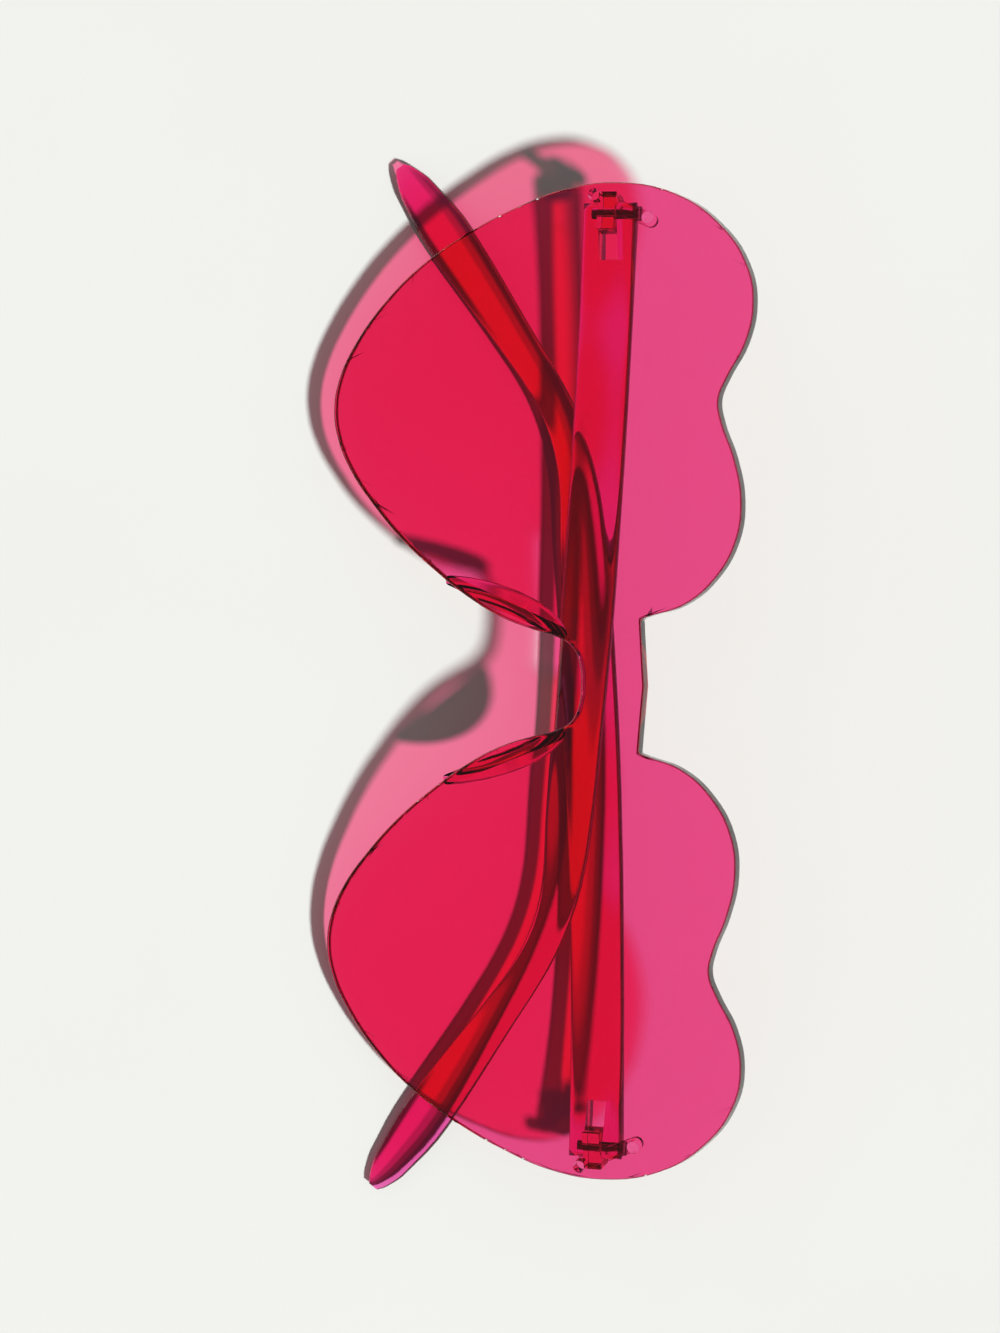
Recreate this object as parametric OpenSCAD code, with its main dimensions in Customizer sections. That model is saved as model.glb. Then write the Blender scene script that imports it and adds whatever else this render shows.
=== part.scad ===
// Heart shaped sunglasses, folded and lying face up on a table.
// The front is one curved sheet with both hearts, the temples fork over a
// knuckle at each end, and the left temple lies under the right one.

/* [Front] */
// Width of the front, end to end
front_w = 150; // [140:1:160]
// Height of a heart, from its lobes to its point
heart_h = 66; // [60:1:72]
// Radius that the front is curved to
front_radius = 300; // [260:5:360]
// Thickness of the front
front_t = 2.3; // [1.8:0.1:3]

/* [Temples] */
// Straight part of a temple, from the pin to the ear bend
temple_straight = 98; // [90:1:104]
// Radius of the ear bend
ear_bend_radius = 40; // [30:1:60]
// Angle that the ear bend turns through, degrees
ear_bend_angle = 29; // [20:1:40]
// Length of the tail behind the ear bend
temple_tail = 39; // [34:1:40]
// Height of a temple at the hinge
temple_h = 8.4; // [7.5:0.1:9.5]
// Thickness of a temple along its middle
temple_t = 2.1; // [1.7:0.1:2.4]
// Angle that a temple drops below the pin's square line, degrees
temple_droop = 4; // [3.5:0.1:5]
// How far the left temple has bowed back by the middle of the front
left_bow = 6.1; // [5.5:0.1:6.5]
// Radius that the left temple's tail bows to, round the head
left_tail_bow = 227; // [180:1:240]
// How far the right temple has bowed back by the middle of the front
right_bow = 4.2; // [3.8:0.1:4.5]
// Radius that the right temple's tail bows to, round the head
right_tail_bow = 216; // [210:1:300]
// Angle that the tail's lower edge turns in towards the head, degrees
tail_twist_angle = 16; // [12:1:20]

/* [Hinges] */
// Distance from the end of the front to the pin
pin_inset = 4.8; // [4.4:0.1:6]
// Distance of the pin's middle below the middle of the front
pin_drop = 5.5; // [3:0.5:9]
// Depth of the pin's centre behind the front
pin_depth = 2.6; // [2.4:0.05:3.2]
// Width of the knuckle along the front
knuckle_w = 5.8; // [5:0.1:7]
// Thickness of the knuckle along the pin
knuckle_t = 2.8; // [2:0.1:3.6]
// Radius of the tine ends round the pin
tine_radius = 1.75; // [1.5:0.05:1.9]
// Depth of the fork's slot from the pin
slot_depth = 6.8; // [5.5:0.1:8]
// Diameter of the screw's shank
shank_d = 1.4; // [1:0.1:1.6]
// Diameter of the screw's head
screw_head_d = 2.3; // [2:0.1:2.8]
// Height of the screw's head
screw_head_h = 0.65; // [0.4:0.05:1]
// Diameter of a peg that holds the hinge block in the front
peg_d = 1.9; // [1.5:0.1:2.2]
// Thickness of the hinge block's plate
plate_t = 0.6; // [0.4:0.05:0.7]

/* [Nose pads] */
// Length of a nose pad along the front
pad_length = 21.5; // [16:0.5:24]
// Depth of a nose pad behind the front
pad_depth = 5.4; // [4:0.1:7]
// Thickness of a nose pad
pad_t = 1.6; // [1.2:0.1:2]
// Angle of a nose pad to the upright line, degrees
pad_lean = 22; // [15:1:30]
// Angle that a nose pad splays away from the nose, degrees
pad_splay = 20; // [10:1:30]

/* [Pose] */
// Angle that the hearts' lobes stand higher than their points, degrees
front_tilt = 21.5; // [20:0.5:24]
// Angle that the right end stands higher than the left one, degrees
front_roll = 2; // [1.5:0.1:3]
// Fall of the left temple's line behind its pin, at the middle of the front
left_fall = 14; // [13.2:0.1:15]
// Fall of the right temple's line behind its pin, at the middle of the front
right_fall = 8; // [7.6:0.1:8.4]

/* [Hidden] */

// Gap in a seat that is glued or pressed
seat_gap = 0.02;
// Gap in a bore that turns on the screw
turning_gap = 0.05;
// Gap between the knuckle and each tine
side_gap = 0.1;
// Depth of the screw's thread in the lower tine
thread_depth = 1.2;
// Width and depth of the slot in the screw's head
drive_w = 0.4;
drive_depth = 0.3;
// Place of the outer peg: out along the front from the pin, and down
outer_peg_out = 1.9;
outer_peg_down = 1.5;
// Place of the inner peg: in along the front from the pin, and up
inner_peg_in = 1.8;
inner_peg_up = 7.4;
// Width of the hinge block's plate, past the pegs on each side
plate_rim = 0.45;
// Radius of the knuckle's free corners
knuckle_corner = 1.2;
// Overrun of a cut past the solid that it cuts
overrun = 1;

// One side of the outline, from the bridge's upper corner round the heart to
// the nose: shares of half the width and of the heart's height
side_shares = [
    [0.132, 0.070], [0.139, 0.094], [0.161, 0.171], [0.213, 0.242], [0.288, 0.289],
    [0.368, 0.298], [0.451, 0.276], [0.523, 0.241], [0.565, 0.231], [0.607, 0.247],
    [0.675, 0.285], [0.757, 0.298], [0.835, 0.273], [0.915, 0.200], [0.976, 0.088],
    [1.000, -0.053], [0.987, -0.182], [0.953, -0.288], [0.904, -0.398], [0.840, -0.505],
    [0.760, -0.595], [0.667, -0.665], [0.603, -0.694], [0.547, -0.702], [0.485, -0.689],
    [0.419, -0.652], [0.347, -0.588], [0.280, -0.515], [0.220, -0.432], [0.168, -0.348],
    [0.128, -0.262], [0.105, -0.182], [0.092, -0.127], [0.071, -0.089], [0.035, -0.072],
];
// Heights of the nose arch and of the bridge's top, as shares of the heart's height
arch_share = -0.069;
bridge_share = 0.082;
// Points of the outline's curve between two given points
curve_steps = 2;
// Middle of a nose pad, as shares of half the width and of the heart's height
pad_middle_share = [0.150, -0.263];

// Height and thickness of the temple along its length: share of the length,
// then share of the height or thickness
height_shares = [
    [0, 1], [0.39, 1.02], [0.58, 0.91], [0.635, 0.76], [0.68, 0.64], [0.725, 0.595],
    [0.78, 0.64], [0.845, 0.79], [0.91, 0.92], [0.96, 0.88], [0.993, 0.42], [1, 0.18],
];
thickness_shares = [
    [0, 1.6], [0.09, 1], [0.58, 1], [0.73, 1.05], [0.91, 1.14], [0.97, 1], [1, 0.45],
];
// Places of the temple's sections, as shares of its length past the fork
ring_shares = [
    0, 0.03, 0.08, 0.15, 0.23, 0.31, 0.35, 0.39, 0.43, 0.47, 0.53, 0.58, 0.62, 0.66, 0.69,
    0.72, 0.75, 0.78, 0.81, 0.84, 0.87, 0.90, 0.93, 0.955, 0.975, 0.99, 1,
];
// Corners of a section, and how square it is
section_corners = 16;
section_power = 0.55;

// Turning values between an arc's length and its angle
degrees_per_radian = 180 / PI;

// Sizes worked out from the ones above
back_radius = front_radius - front_t;
pin_circle = back_radius - pin_depth;
pin_x = front_w / 2 - pin_inset;
pin_angle = asin(pin_x / pin_circle);
pin_z = pin_circle * cos(pin_angle) - front_radius;
outer_peg = [outer_peg_out, -outer_peg_down];
inner_peg = [-inner_peg_in, inner_peg_up];
left_fold = atan(left_fall / pin_x);
right_fold = atan(right_fall / pin_x);
slot_w = knuckle_t + 2 * side_gap;
ear_arc = ear_bend_radius * ear_bend_angle / degrees_per_radian;
temple_length = temple_straight + ear_arc + temple_tail;
fork_end = slot_depth + tine_radius;
pad_radius = (pad_length * pad_length / 4 + pad_depth * pad_depth) / (2 * pad_depth);
curve_fn = 360;
bore_fn = 48;
arc_steps = 8;

// Point on a smooth curve through b and c, with neighbours a and d
function curve_point(a, b, c, d, t) =
    b + (c - a) * t / 2
    + (2 * a - 5 * b + 4 * c - d) * t * t / 2
    + (3 * b - a - 3 * c + d) * t * t * t / 2;

// A run of points made smooth, with its ends kept
function smooth_run(points) =
    let (last = len(points) - 1)
    [
        for (i = [0 : last - 1], j = [0 : curve_steps - 1])
            curve_point(points[max(i - 1, 0)], points[i], points[i + 1],
                points[min(i + 2, last)], j / curve_steps),
        points[last],
    ];

// The whole outline: one side, the nose arch, the other side and the bridge's top
run_shares = concat(
    side_shares,
    [[0, arch_share]],
    [for (i = [len(side_shares) - 1 : -1 : 0]) [-side_shares[i].x, side_shares[i].y]]
);
outline = [
    for (p = concat(smooth_run(run_shares), [[0, bridge_share]]))
        [p.x * front_w / 2, p.y * heart_h]
];

// Level of a curved face over a place across the front
function face_z(radius, x) = sqrt(radius * radius - x * x) - front_radius;

// The temple's centre line seen from the side: turn, and places along and up
function turn_at(s) =
    max(0, min((s - temple_straight) / ear_bend_radius * degrees_per_radian, ear_bend_angle));
function tail_at(s) = max(s - temple_straight - ear_arc, 0);
function along_at(s) =
    min(s, temple_straight) + ear_bend_radius * sin(turn_at(s)) + tail_at(s) * cos(turn_at(s));
function down_at(s) = ear_bend_radius * (1 - cos(turn_at(s))) + tail_at(s) * sin(turn_at(s));
function reach_at(s) = along_at(s) * cos(temple_droop) - down_at(s) * sin(temple_droop);
function rise_at(s) = -along_at(s) * sin(temple_droop) - down_at(s) * cos(temple_droop);

// The same line bowed round the head: bows holds the straight part's radius and the tail's
function straight_bow(a, bows) = min(a, temple_straight) / bows[0] * degrees_per_radian;
function bow_at(a, bows) =
    straight_bow(a, bows) + max(a - temple_straight, 0) / bows[1] * degrees_per_radian;
function bowed_x(a, bows) =
    bows[0] * sin(straight_bow(a, bows))
    + bows[1] * (sin(bow_at(a, bows)) - sin(straight_bow(a, bows)));
function bowed_z(a, bows) =
    bows[0] * (1 - cos(straight_bow(a, bows)))
    + bows[1] * (cos(straight_bow(a, bows)) - cos(bow_at(a, bows)));

// Turn of the section, growing round the ear bend
function twist_at(s) = tail_twist_angle * max(0, min((s - temple_straight + ear_arc) / (2 * ear_arc), 1));

// A cosine or sine drawn out towards a square
function squared(v) = sign(v) * pow(abs(v), section_power);

// Corner k of the temple's section at length s
function section_point(s, k, bows) =
    let (
        around = 360 * (k + 0.5) / section_corners,
        half_h = temple_h / 2 * lookup(s / temple_length, height_shares) * squared(cos(around)),
        half_t = temple_t / 2 * lookup(s / temple_length, thickness_shares) * squared(sin(around)),
        up = half_h * cos(twist_at(s)) + half_t * sin(twist_at(s)),
        out = half_t * cos(twist_at(s)) - half_h * sin(twist_at(s)),
        slope = turn_at(s) + temple_droop,
        reach = reach_at(s),
        bow = bow_at(reach, bows),
        ahead = up * sin(slope)
    )
    [
        bowed_x(reach, bows) + ahead * cos(bow) - out * sin(bow),
        rise_at(s) + up * cos(slope),
        bowed_z(reach, bows) + ahead * sin(bow) + out * cos(bow),
    ];

// Lengths of the sections, and all their corners
sweep_start = slot_depth + side_gap;
ring_lengths = [
    for (share = ring_shares) sweep_start + (temple_length - sweep_start) * share
];
function temple_points(bows) = [
    for (s = ring_lengths, k = [0 : section_corners - 1]) section_point(s, k, bows)
];
left_bows = [pin_x * pin_x / (2 * left_bow), left_tail_bow];
right_bows = [pin_x * pin_x / (2 * right_bow), right_tail_bow];

// Corner number k of section number i, going round
function corner(i, k) = i * section_corners + k % section_corners;
temple_faces = concat(
    [
        for (i = [0 : len(ring_lengths) - 2], k = [0 : section_corners - 1], half = [0, 1])
            half == 0
                ? [corner(i, k), corner(i + 1, k), corner(i + 1, k + 1)]
                : [corner(i, k), corner(i + 1, k + 1), corner(i, k + 1)]
    ],
    [for (k = [1 : section_corners - 2]) [corner(0, 0), corner(0, k), corner(0, k + 1)]],
    [
        for (k = [1 : section_corners - 2])
            let (i = len(ring_lengths) - 1)
            [corner(i, 0), corner(i, k + 1), corner(i, k)]
    ]
);

// A point of the temple after its fold, and any point after the tilt and roll
function folded(p, fold) =
    [
        p.x * cos(fold) + p.z * sin(fold) - pin_x,
        p.y - pin_drop,
        p.z * cos(fold) - p.x * sin(fold) + pin_z,
    ];
function tilted(p) =
    let (
        y = p.y * cos(front_tilt) - p.z * sin(front_tilt),
        z = p.y * sin(front_tilt) + p.z * cos(front_tilt)
    )
    [p.x * cos(front_roll) + z * sin(front_roll), y, z * cos(front_roll) - p.x * sin(front_roll)];

// Every outer point as it lies, and the shift that stands them on the table
lying_points = concat(
    [for (p = outline) tilted([p.x, p.y, face_z(front_radius, p.x)])],
    [for (p = outline) tilted([p.x, p.y, face_z(back_radius, p.x)])],
    [for (p = temple_points(right_bows)) tilted(folded(p, right_fold))],
    [for (p = temple_points(left_bows)) let (q = folded(p, left_fold)) tilted([-q.x, q.y, q.z])]
);
lying_x = [for (p = lying_points) p.x];
lying_y = [for (p = lying_points) p.y];
lying_z = [for (p = lying_points) p.z];
table_shift = [
    -(min(lying_x) + max(lying_x)) / 2,
    -(min(lying_y) + max(lying_y)) / 2,
    -min(lying_z),
];

// From the front's own frame, with its middle at zero and its face up, to the table
module lying() {
    translate(table_shift)
        rotate([front_tilt, front_roll, 0])
            children();
}

// A round bar along the pin's direction
module bar_along_pin(radius, length, fn) {
    rotate([90, 0, 0])
        cylinder(r = radius, h = length, center = true, $fn = fn);
}

// Everything inside a curved face of the front
module inside_face(radius) {
    translate([0, 0, -front_radius])
        bar_along_pin(radius, 2 * heart_h, curve_fn);
}

// From the pin of the left hinge, with its own face up, to the front's frame
module at_left_pin() {
    translate([0, -pin_drop, -front_radius])
        rotate([0, pin_angle, 0])
            translate([0, 0, pin_circle])
                children();
}

// The same thing on the other side of the front
module other_side() {
    mirror([1, 0, 0])
        children();
}

// The two pegs of one hinge block, or the holes for them
module pegs(clearance, low, high) {
    for (place = [outer_peg, inner_peg])
        translate([place.x, place.y, low])
            cylinder(d = peg_d + 2 * clearance, h = high - low, $fn = bore_fn);
}

module peg_holes() {
    at_left_pin()
        pegs(seat_gap, pin_depth - overrun, pin_depth + front_t + overrun);
}

module front_shield() {
    color([0.86, 0.32, 0.52, 0.6])
        lying()
            difference() {
                intersection() {
                    inside_face(front_radius);
                    translate([0, 0, -heart_h / 2])
                        linear_extrude(height = heart_h)
                            polygon(outline);
                }
                inside_face(back_radius);
                peg_holes();
                other_side()
                    peg_holes();
            }
}

// A disc with a round rim, standing on edge
module pad_disc() {
    rim = pad_t / 2;
    cylinder(r = pad_radius - rim, h = pad_t, center = true, $fn = curve_fn);
    rotate_extrude($fn = curve_fn)
        translate([pad_radius - rim, 0])
            circle(r = rim, $fn = bore_fn);
}

// The nose pad on the left: the disc, cut off by the back of the front
module nose_pad() {
    across_angle = asin(pad_middle_share.x * front_w / 2 / back_radius);
    intersection() {
        translate([0, pad_middle_share.y * heart_h, -front_radius])
            rotate([0, across_angle, 0])
                translate([0, 0, back_radius])
                    rotate([0, 0, 90 + pad_lean])
                        rotate([-pad_splay, 0, 0])
                            translate([0, 0, pad_radius - pad_depth])
                                rotate([90, 0, 0])
                                    pad_disc();
        inside_face(back_radius - seat_gap);
    }
}

module left_nose_pad() {
    color([0.80, 0.25, 0.45, 0.7])
        lying()
            nose_pad();
}

module right_nose_pad() {
    color([0.80, 0.25, 0.45, 0.7])
        lying()
            other_side()
                nose_pad();
}

// Points along an arc, from one angle to another
function arc_points(centre, radius, from, to) = [
    for (i = [0 : arc_steps])
        let (turn = from + (to - from) * i / arc_steps)
        centre + radius * [cos(turn), sin(turn)]
];

// The flat shape of the knuckle, with its two free corners round
module knuckle_shape() {
    half_w = knuckle_w / 2;
    corner_x = half_w - knuckle_corner;
    corner_y = knuckle_corner - tine_radius;
    polygon(concat(
        [[half_w, pin_depth], [-half_w, pin_depth]],
        arc_points([-corner_x, corner_y], knuckle_corner, 180, 270),
        arc_points([corner_x, corner_y], knuckle_corner, 270, 360)
    ));
}

// The plate's shape: round the two pegs and straight between them
module plate_shape() {
    between = inner_peg - outer_peg;
    way = atan2(between.y, between.x);
    radius = peg_d / 2 + plate_rim;
    polygon(concat(
        arc_points(outer_peg, radius, way + 90, way + 270),
        arc_points(inner_peg, radius, way - 90, way + 90)
    ));
    translate([-knuckle_w / 2, -knuckle_t / 2])
        square([knuckle_w, knuckle_t]);
}

module hinge_block() {
    difference() {
        union() {
            intersection() {
                union() {
                    at_left_pin()
                        rotate([90, 0, 0])
                            linear_extrude(height = knuckle_t, center = true)
                                knuckle_shape();
                    at_left_pin()
                        translate([0, 0, pin_depth - plate_t])
                            linear_extrude(height = plate_t)
                                plate_shape();
                }
                inside_face(back_radius - seat_gap);
            }
            at_left_pin()
                pegs(0, pin_depth - plate_t / 2, pin_depth + front_t);
        }
        at_left_pin()
            bar_along_pin(shank_d / 2 + turning_gap, knuckle_t + 2 * overrun, bore_fn);
    }
}

module left_hinge_block() {
    color([0.75, 0.20, 0.40, 0.8])
        lying()
            hinge_block();
}

module right_hinge_block() {
    color([0.75, 0.20, 0.40, 0.8])
        lying()
            other_side()
                hinge_block();
}

// From the temple's own frame, pin at zero and length along X, to the right hinge
module at_right_pin(fold) {
    translate([-pin_x, -pin_drop, pin_z])
        rotate([0, fold, 0])
            children();
}

// Height of the fork above its middle line, and its fall at its own end
module fork_side_shape() {
    fall = fork_end * tan(temple_droop);
    half_h = temple_h / 2;
    polygon([
        [-tine_radius - overrun, -half_h],
        [-tine_radius - overrun, half_h],
        [0, half_h],
        [fork_end, half_h - fall],
        [fork_end, -half_h - fall],
        [0, -half_h],
    ]);
}

// The fork from above: round the pin and tapered to the temple's thickness
module fork_top_shape(bows) {
    end_t = temple_t * lookup(fork_end / temple_length, thickness_shares) / 2;
    circle(r = tine_radius, $fn = bore_fn);
    polygon([
        [0, -tine_radius],
        [fork_end, bowed_z(fork_end, bows) - end_t],
        [fork_end, bowed_z(fork_end, bows) + end_t],
        [0, tine_radius],
    ]);
}

module fork(bows) {
    lower_tine = (temple_h - slot_w) / 2;
    difference() {
        intersection() {
            translate([0, 0, -temple_h])
                linear_extrude(height = 2 * temple_h)
                    fork_side_shape();
            rotate([90, 0, 0])
                linear_extrude(height = 2 * temple_h, center = true)
                    fork_top_shape(bows);
        }
        translate([-tine_radius - overrun, -slot_w / 2, -temple_h])
            cube([tine_radius + overrun + slot_depth, slot_w, 2 * temple_h]);
        translate([0, temple_h / 2 - lower_tine / 2, 0])
            bar_along_pin(shank_d / 2 + turning_gap, lower_tine + 2 * side_gap, bore_fn);
        translate([0, -(slot_w + thread_depth) / 2, 0])
            bar_along_pin(shank_d / 2 + seat_gap, thread_depth + 2 * side_gap, bore_fn);
    }
}

module temple(bows) {
    fork(bows);
    polyhedron(points = temple_points(bows), faces = temple_faces, convexity = 6);
}

module left_temple() {
    color([0.90, 0.20, 0.42, 0.8])
        lying()
            other_side()
                at_right_pin(left_fold)
                    temple(left_bows);
}

module right_temple() {
    color([0.90, 0.20, 0.42, 0.8])
        lying()
            at_right_pin(right_fold)
                temple(right_bows);
}

// A slotted screw down the pin: its head on the upper tine, its end in the lower
module hinge_screw() {
    shank_length = (temple_h + slot_w) / 2 + thread_depth;
    difference() {
        union() {
            translate([0, (temple_h - shank_length) / 2, 0])
                bar_along_pin(shank_d / 2, shank_length, bore_fn);
            translate([0, (temple_h + screw_head_h) / 2, 0])
                bar_along_pin(screw_head_d / 2, screw_head_h, bore_fn);
        }
        translate([-screw_head_d, temple_h / 2 + screw_head_h - drive_depth, -drive_w / 2])
            cube([2 * screw_head_d, drive_depth + overrun, drive_w]);
    }
}

module left_hinge_screw() {
    color([0.35, 0.33, 0.32])
        lying()
            other_side()
                at_right_pin(left_fold)
                    hinge_screw();
}

module right_hinge_screw() {
    color([0.35, 0.33, 0.32])
        lying()
            at_right_pin(right_fold)
                hinge_screw();
}

front_shield();
left_nose_pad();
right_nose_pad();
left_hinge_block();
right_hinge_block();
left_temple();
right_temple();
left_hinge_screw();
right_hinge_screw();
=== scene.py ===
# %% [markdown]
# # Folded heart shaped sunglasses
#
# The pair lies on a white table, seen from straight above. Its front is one
# curved sheet of clear pink plastic, cut to a double heart. Two temples, the
# long arms that go over the ears, are folded under it on small screwed
# hinges. Everything but the screws is clear, so the render depends on real
# thickness: each piece is modelled as a closed solid, and its colour comes
# from its skin and from how far light travels inside it.

# %% Load the frame
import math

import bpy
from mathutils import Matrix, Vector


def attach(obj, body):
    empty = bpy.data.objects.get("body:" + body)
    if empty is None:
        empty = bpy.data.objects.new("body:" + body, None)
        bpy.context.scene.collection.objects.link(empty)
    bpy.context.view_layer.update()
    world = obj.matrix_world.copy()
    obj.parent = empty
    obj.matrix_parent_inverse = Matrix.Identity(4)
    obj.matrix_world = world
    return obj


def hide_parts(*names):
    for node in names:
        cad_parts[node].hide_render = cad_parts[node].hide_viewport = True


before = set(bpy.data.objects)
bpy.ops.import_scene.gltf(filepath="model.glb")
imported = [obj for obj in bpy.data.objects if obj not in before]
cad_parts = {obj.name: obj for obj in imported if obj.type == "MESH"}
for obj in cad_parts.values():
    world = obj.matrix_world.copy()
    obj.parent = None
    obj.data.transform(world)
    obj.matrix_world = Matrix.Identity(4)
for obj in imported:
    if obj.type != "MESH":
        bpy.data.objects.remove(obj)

# %% [markdown]
# ## What is there already
#
# The frame holds the solids of the glasses at their real size and place.
# Every piece below is made to lie exactly where its solid lies, so nothing
# has to be fitted afterwards.

MM = 0.001


def in_mm(corners, digits=1):
    """Corners in millimetres, to print."""
    return [[round(c / MM, digits) for c in corner] for corner in corners]


bpy.context.view_layer.update()

# %% [markdown]
# ## Sizes
#
# Blender works in metres and a maker thinks in millimetres, so every size is
# written as millimetres times MM. The values are the ones the solids were
# drawn with: the front is 150 mm wide and curved to a radius of 300 mm. The
# sizes that only one piece needs stand in that piece's own cell.

# %% Sizes of the front and of the pins behind it
FRONT_W = 150 * MM
HEART_H = 66 * MM
FRONT_R = 300 * MM
FRONT_T = 2.3 * MM
BACK_R = FRONT_R - FRONT_T
PIN_INSET = 4.8 * MM
PIN_X = FRONT_W / 2 - PIN_INSET
PIN_DROP = 5.5 * MM
PIN_DEPTH = 2.6 * MM
print("pins apart, mm:", round(2 * PIN_X / MM, 1))

# %% [markdown]
# ## Where the pieces lie
#
# It is easier to model a piece in its own frame, flat and square, and to lay
# it in place at the end. It could be turned by hand with the rotate tool, but
# a matrix does the same every time and both sides can share it. LYING takes
# the front from its own frame, with its face up, to the table: tilted 21.5
# degrees, so the lobes stand higher than the points, and rolled 2 degrees.

# %% Matrices from the front's own frame to the table
TILT = 21.5
ROLL = 2
RESTING_PLACE = (0.7188 * MM, 10.4651 * MM, 25.6051 * MM)


def turned(degrees, axis):
    return Matrix.Rotation(math.radians(degrees), 4, axis)


def moved(x, y, z):
    return Matrix.Translation((x, y, z))


MIRROR = Matrix.Scale(-1, 4, (1, 0, 0))
LYING = moved(*RESTING_PLACE) @ turned(ROLL, "Y") @ turned(TILT, "X")
print("middle of the front, mm:", [round(c / MM, 1) for c in LYING.translation])

# %% [markdown]
# ## The hinges
#
# The knuckles stand square on the curved back of the front, while the folded
# temples run across from pin to pin, each with a small fall away from the
# front: the right one lies between the front and the left one. The block's
# matrix follows the curve. The two hinge matrices take a temple from the
# bench, where its pin is at the origin and its length runs along X, to its
# place under the front.

# %% Matrices of the blocks and the folded temples
PIN_CIRCLE = BACK_R - PIN_DEPTH
PIN_ANGLE = math.degrees(math.asin(PIN_X / PIN_CIRCLE))
PIN_Z = PIN_CIRCLE * math.cos(math.radians(PIN_ANGLE)) - FRONT_R
LEFT_BLOCK = moved(0, -PIN_DROP, -FRONT_R) @ turned(PIN_ANGLE, "Y") @ moved(0, 0, PIN_CIRCLE)
RIGHT_PIN = moved(-PIN_X, -PIN_DROP, PIN_Z)
RIGHT_FALL = 8 * MM
LEFT_FALL = 14 * MM
RIGHT_FOLD = math.degrees(math.atan2(RIGHT_FALL, PIN_X))
LEFT_FOLD = math.degrees(math.atan2(LEFT_FALL, PIN_X))
RIGHT_HINGE = LYING @ RIGHT_PIN @ turned(RIGHT_FOLD, "Y")
LEFT_HINGE = LYING @ MIRROR @ RIGHT_PIN @ turned(LEFT_FOLD, "Y")
print("folds, degrees:", round(RIGHT_FOLD, 2), round(LEFT_FOLD, 2))

# %% [markdown]
# ## The camera
#
# The photograph looks straight down from about 700 mm, with the length of
# the glasses up the picture. The sensor width belongs to the picture's long
# side, 1333 pixels, and at the height of the front a pixel is 0.1478 mm,
# which gives the focal length. It could be found by trial, but worked out
# like this it is right at once. The small turn is how the glasses lie in the
# picture.

# %% Set up the camera
CAMERA_HEIGHT = 700 * MM
CAMERA_PLACE = (-1.84 * MM, -5.73 * MM, CAMERA_HEIGHT)
CAMERA_TURN = 0.85
SCALE_HEIGHT = 26.4 * MM
PIXEL = 0.1478 * MM
PICTURE_LONG = 1333
SENSOR = 36
camera_data = bpy.data.cameras.new("camera")
camera = bpy.data.objects.new("camera", camera_data)
bpy.context.scene.collection.objects.link(camera)
bpy.context.scene.camera = camera
camera_data.sensor_width = SENSOR
camera_data.lens = SENSOR * (CAMERA_HEIGHT - SCALE_HEIGHT) / (PICTURE_LONG * PIXEL)
camera_data.clip_start = 0.01
camera_data.clip_end = 50
camera.location = CAMERA_PLACE
picture_up = Matrix(((0, -1, 0), (1, 0, 0), (0, 0, 1))).to_4x4()
camera.rotation_euler = (picture_up @ turned(CAMERA_TURN, "Z")).to_euler()
print("focal length, mm:", round(camera_data.lens, 1))

# %% [markdown]
# ## Small helpers for modelling by hand
#
# The pieces are modelled with the same operators as the menus offer. An
# operator works on whatever is selected, and loading leaves the solids
# selected. So each step first deselects everything and then picks its piece.

# %% Selecting and editing
SHARP = math.radians(55)


def start():
    """Object mode with nothing selected."""
    if bpy.context.mode != "OBJECT":
        bpy.ops.object.mode_set(mode="OBJECT")
    bpy.ops.object.select_all(action="DESELECT")


def pick(piece):
    start()
    piece.select_set(True)
    bpy.context.view_layer.objects.active = piece


def made(name):
    """The primitive that was just added, named, with its size and turn in its mesh."""
    piece = bpy.context.object
    piece.name = piece.data.name = name
    bpy.ops.object.transform_apply(location=True, rotation=True, scale=True)
    return piece


def edit(piece, choose="SELECT"):
    pick(piece)
    bpy.ops.object.mode_set(mode="EDIT")
    bpy.ops.mesh.select_all(action=choose)


def leave_edit():
    bpy.ops.object.mode_set(mode="OBJECT")


def select_edges(piece, wanted):
    """Selects the edges whose two ends satisfy wanted(a, b), and stays in edit mode."""
    edit(piece, "DESELECT")
    bpy.ops.mesh.select_mode(type="EDGE")
    leave_edit()
    spots = [v.co.copy() for v in piece.data.vertices]
    for edge in piece.data.edges:
        a, b = (spots[i] for i in edge.vertices)
        edge.select = bool(wanted(a, b))
    bpy.ops.object.mode_set(mode="EDIT")


def select_sharp(piece):
    """Selects the sharp edges, and stays in edit mode."""
    edit(piece, "DESELECT")
    bpy.ops.mesh.select_mode(type="EDGE")
    bpy.ops.mesh.edges_select_sharp(sharpness=SHARP)


def round_sharp(piece, width, segments):
    """Bevels every sharp edge of the piece."""
    select_sharp(piece)
    bpy.ops.mesh.bevel(offset=width, segments=segments, affect="EDGES")
    leave_edit()


print("selecting helpers ready")

# %% [markdown]
# ## Helpers for finishing
#
# A piece must end up closed, with its faces outwards and with its place in
# its mesh. A Boolean could stay live, but applied at once it leaves plain
# faces that the next step can select. It hands them back in an order that
# changes from run to run, and merging doubles depends on the order, so each
# result is sorted by place. The plastic reads one more thing from each
# piece: how near an edge a spot is. That is written on the vertices as an
# attribute, since only the modelling knows where the edges are.

# %% Finishing
import bmesh

DOUBLES = 0.001 * MM
SORTING_WAY = Vector((1.0, 0.618, 0.377))


def tidy(piece, merge=DOUBLES):
    """Merges doubles and turns every face outwards."""
    edit(piece)
    bpy.ops.mesh.remove_doubles(threshold=merge)
    bpy.ops.mesh.normals_make_consistent(inside=False)
    leave_edit()


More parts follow.
